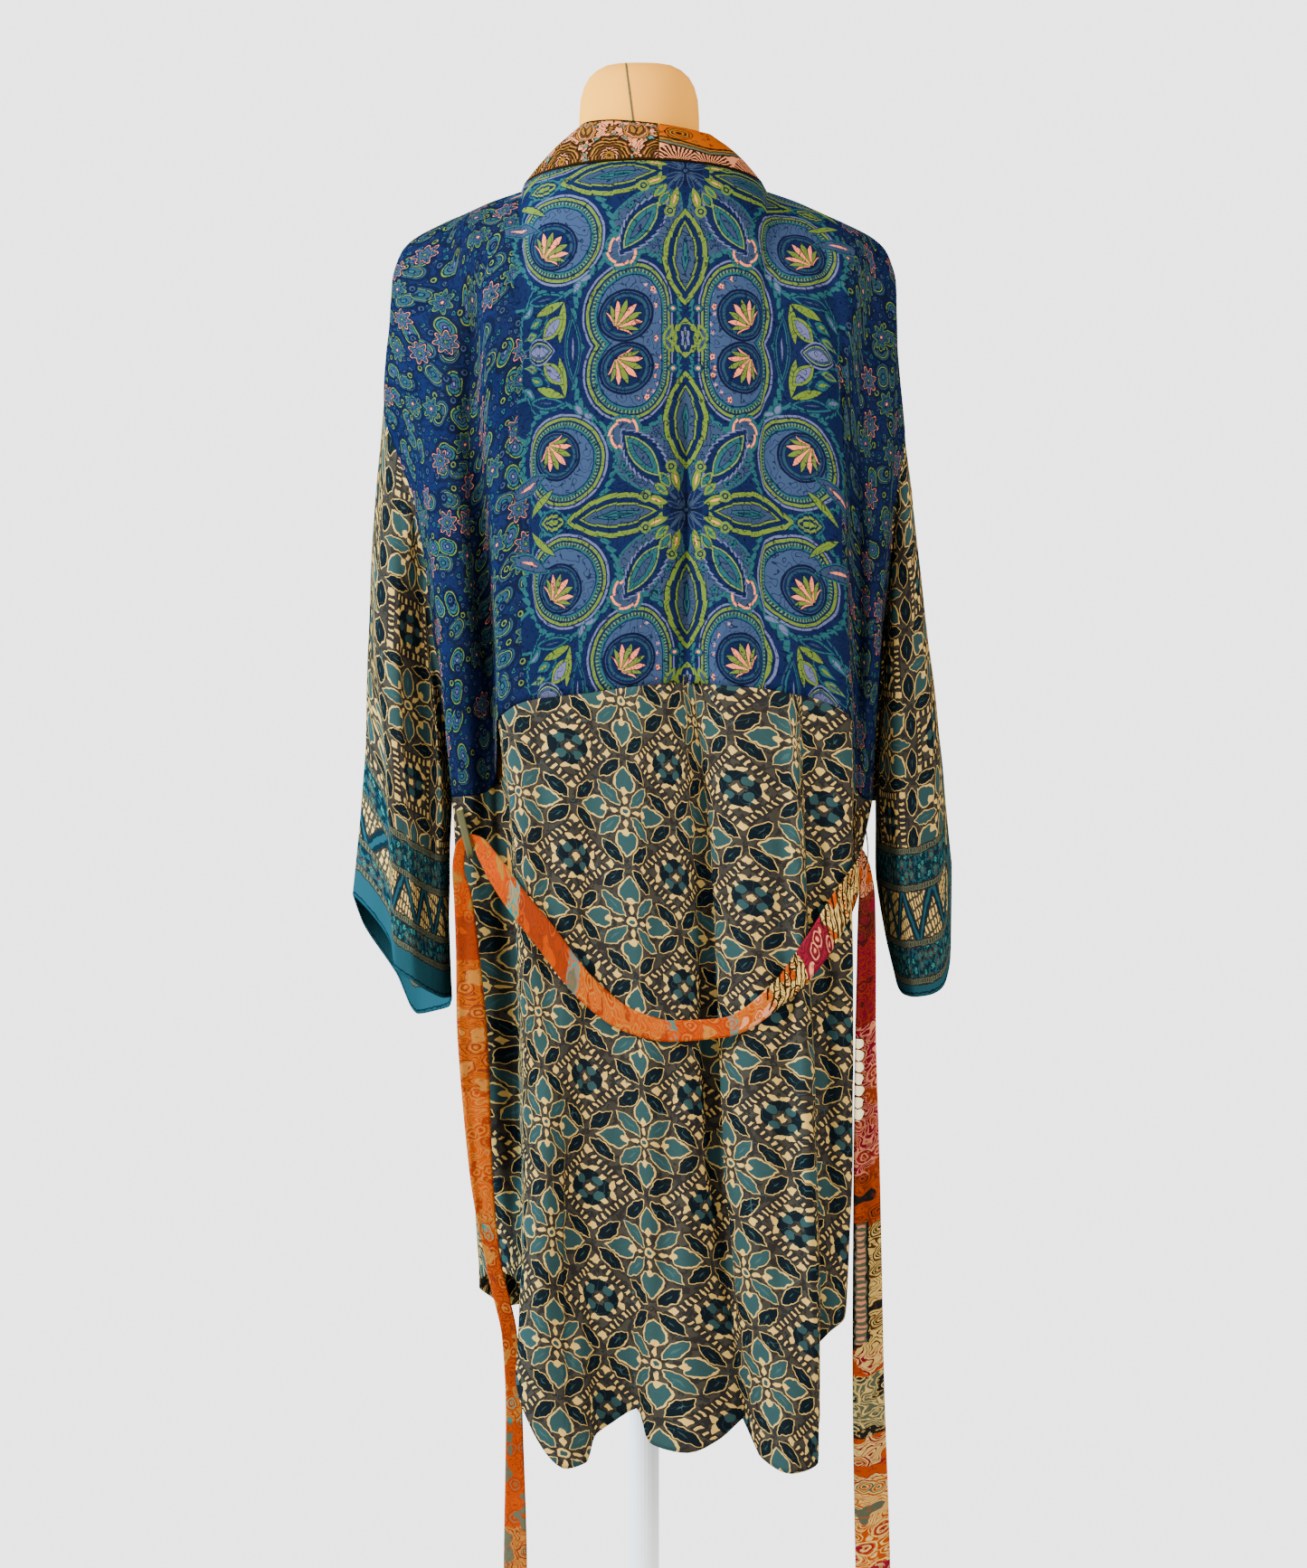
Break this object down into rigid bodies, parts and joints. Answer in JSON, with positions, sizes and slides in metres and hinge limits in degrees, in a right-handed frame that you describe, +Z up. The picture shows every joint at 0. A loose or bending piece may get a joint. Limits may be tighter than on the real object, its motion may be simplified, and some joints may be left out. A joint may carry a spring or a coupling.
{
  "type": "short kimono robe on a dress form",
  "caption": "Short wide-sleeved kimono robe hanging open, with a sash slung through its side loops, on a limbless dress form with a pole and round base.",
  "frame": {"origin": "middle of the stand's flat underside, on the floor", "axes": "+Z up; the robe's front faces -Y and its back +Y; +X is the wearer's left"},
  "size_m": [0.5012, 0.3006, 1.5155],
  "materials": {
    "yoke_silk": "soft silky sheen, blue paisley print",
    "block_print": "matt, teal and cream block print on brown grey",
    "neckband_left": "soft sheen, brown paisley print on pinkish cream",
    "neckband_right": "soft sheen, orange ground with cream and brown print",
    "sash": "soft sheen, patchwork, mostly orange",
    "loop_left": "matt olive brown tape",
    "loop_right": "matt dark brown tape",
    "form_linen": "matt cream linen",
    "stand": "satin pale grey"
  },
  "bodies": {
    "root": {"back_yoke": "yoke_silk", "front_yoke_left": "yoke_silk", "front_yoke_right": "yoke_silk", "back_skirt": "block_print", "front_skirt_left": "block_print", "front_skirt_right": "block_print", "sleeve_left": "block_print", "sleeve_right": "block_print", "neckband_left": "neckband_left", "neckband_right": "neckband_right", "sash": "sash", "belt_loop_left": "loop_left", "belt_loop_right": "loop_right", "form_torso": "form_linen", "form_pole": "stand", "form_base": "stand"}
  },
  "joints": []
}
